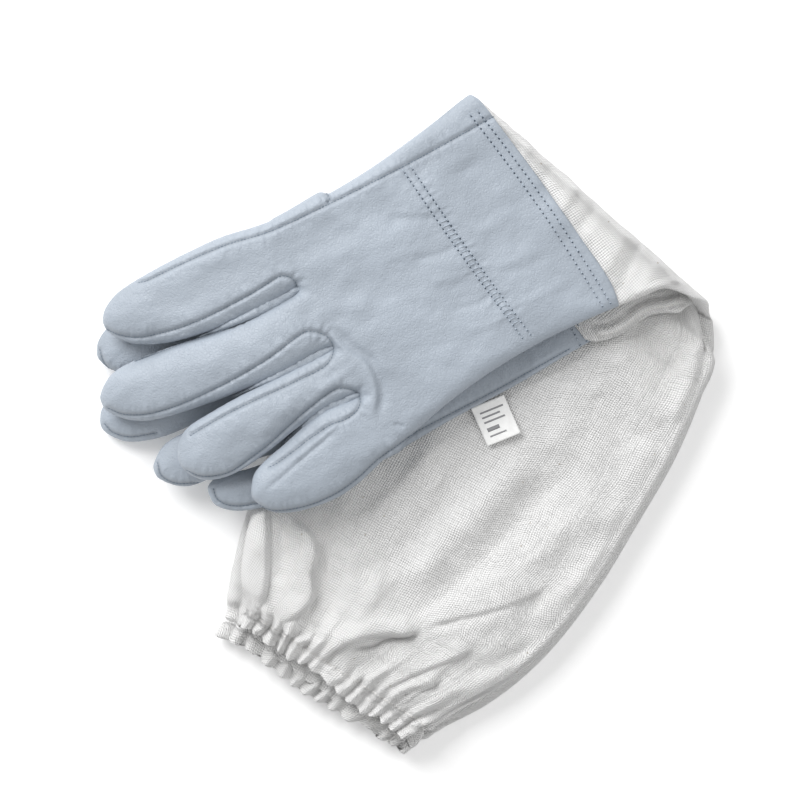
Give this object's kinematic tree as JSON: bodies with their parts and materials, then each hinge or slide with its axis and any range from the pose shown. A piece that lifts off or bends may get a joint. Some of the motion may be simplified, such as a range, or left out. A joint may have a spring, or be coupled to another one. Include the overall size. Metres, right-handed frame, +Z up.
{
  "type": "pair of beekeeping gloves",
  "caption": "Pair of long leather and canvas gloves laid palm to palm, with elastic wrists and wide canvas sleeves folded back under the hands and gathered at their mouths",
  "frame": {"origin": "the middle of the table face under the whole pair", "axes": "+X runs across the folded pair towards the end where the sleeves fold, +Y runs along its longest extent from the gathered sleeve mouths to the cuff corner, +Z is up from the table, and the hands lie at 22.2 degrees to X with the fingers towards -X"},
  "size_m": [0.3134, 0.3298, 0.0416],
  "materials": {
    "leather": "soft grain leather dyed pale blue grey, satin sheen, slightly mottled",
    "canvas": "heavy off-white plain weave cotton canvas, matt",
    "elastic": "white woven elastic",
    "satin": "white satin ribbon with grey printed bars",
    "thread": "matt sewing thread"
  },
  "bodies": {
    "sleeves": {"left_sleeve_under": "canvas", "left_sleeve_hem": "canvas", "left_hem_elastic": "elastic", "right_sleeve_under": "canvas", "right_sleeve_hem": "canvas", "right_hem_elastic": "elastic"},
    "left_glove": {"left_back_panel": "leather", "left_palm_panel": "leather", "left_edge_strip": "leather", "left_thumb": "leather", "left_wrist_elastic": "elastic", "left_sleeve_strip": "canvas", "left_index_middle_fork": "leather", "left_middle_ring_fork": "leather", "left_ring_little_fork": "leather"},
    "left_index": {"left_index_finger": "leather"},
    "left_middle": {"left_middle_finger": "leather"},
    "left_ring": {"left_ring_finger": "leather"},
    "left_little": {"left_little_finger": "leather"},
    "right_glove": {"right_back_panel": "leather", "right_palm_panel": "leather", "right_edge_strip": "leather", "right_thumb": "leather", "right_wrist_elastic": "elastic", "right_sleeve_strip": "canvas", "right_index_middle_fork": "leather", "right_middle_ring_fork": "leather", "right_ring_little_fork": "leather", "right_index_finger": "leather", "right_middle_finger": "leather", "right_ring_finger": "leather", "right_little_finger": "leather"},
    "label": {"size_label": "satin"}
  },
  "joints": [
    {"name": "left_fold", "type": "hinge", "parent": "sleeves", "child": "left_glove", "pos_m": [0.0957, 0.1142, 0.0209], "axis": [-0.7612, 0.6485, 0], "range_deg": [0, 180]},
    {"name": "right_fold", "type": "hinge", "parent": "sleeves", "child": "right_glove", "pos_m": [0.0957, 0.1142, 0.0209], "axis": [-0.7612, 0.6485, 0], "range_deg": [0, 180]},
    {"name": "left_index_lift", "type": "hinge", "parent": "left_glove", "child": "left_index", "pos_m": [-0.05696, 0.08738, 0.0416], "axis": [-0.3778, 0.9259, 0], "range_deg": [0, 50]},
    {"name": "left_middle_lift", "type": "hinge", "parent": "left_glove", "child": "left_middle", "pos_m": [-0.04335, 0.05405, 0.0416], "axis": [-0.3778, 0.9259, 0], "range_deg": [0, 50]},
    {"name": "left_ring_lift", "type": "hinge", "parent": "left_glove", "child": "left_ring", "pos_m": [-0.03202, 0.02627, 0.0416], "axis": [-0.3778, 0.9259, 0], "range_deg": [0, 50]},
    {"name": "left_little_lift", "type": "hinge", "parent": "left_glove", "child": "left_little", "pos_m": [-0.01917, -0.00521, 0.0416], "axis": [-0.3778, 0.9259, 0], "range_deg": [0, 50]},
    {"name": "label_flap", "type": "hinge", "parent": "right_glove", "child": "label", "pos_m": [0.04193, 0.01022, 0.0203], "axis": [-0.9259, -0.3778, 0], "range_deg": [0, 90]}
  ],
  "couplings": [
    {"joint": "right_fold", "follows": "left_fold", "ratio": 1}
  ]
}
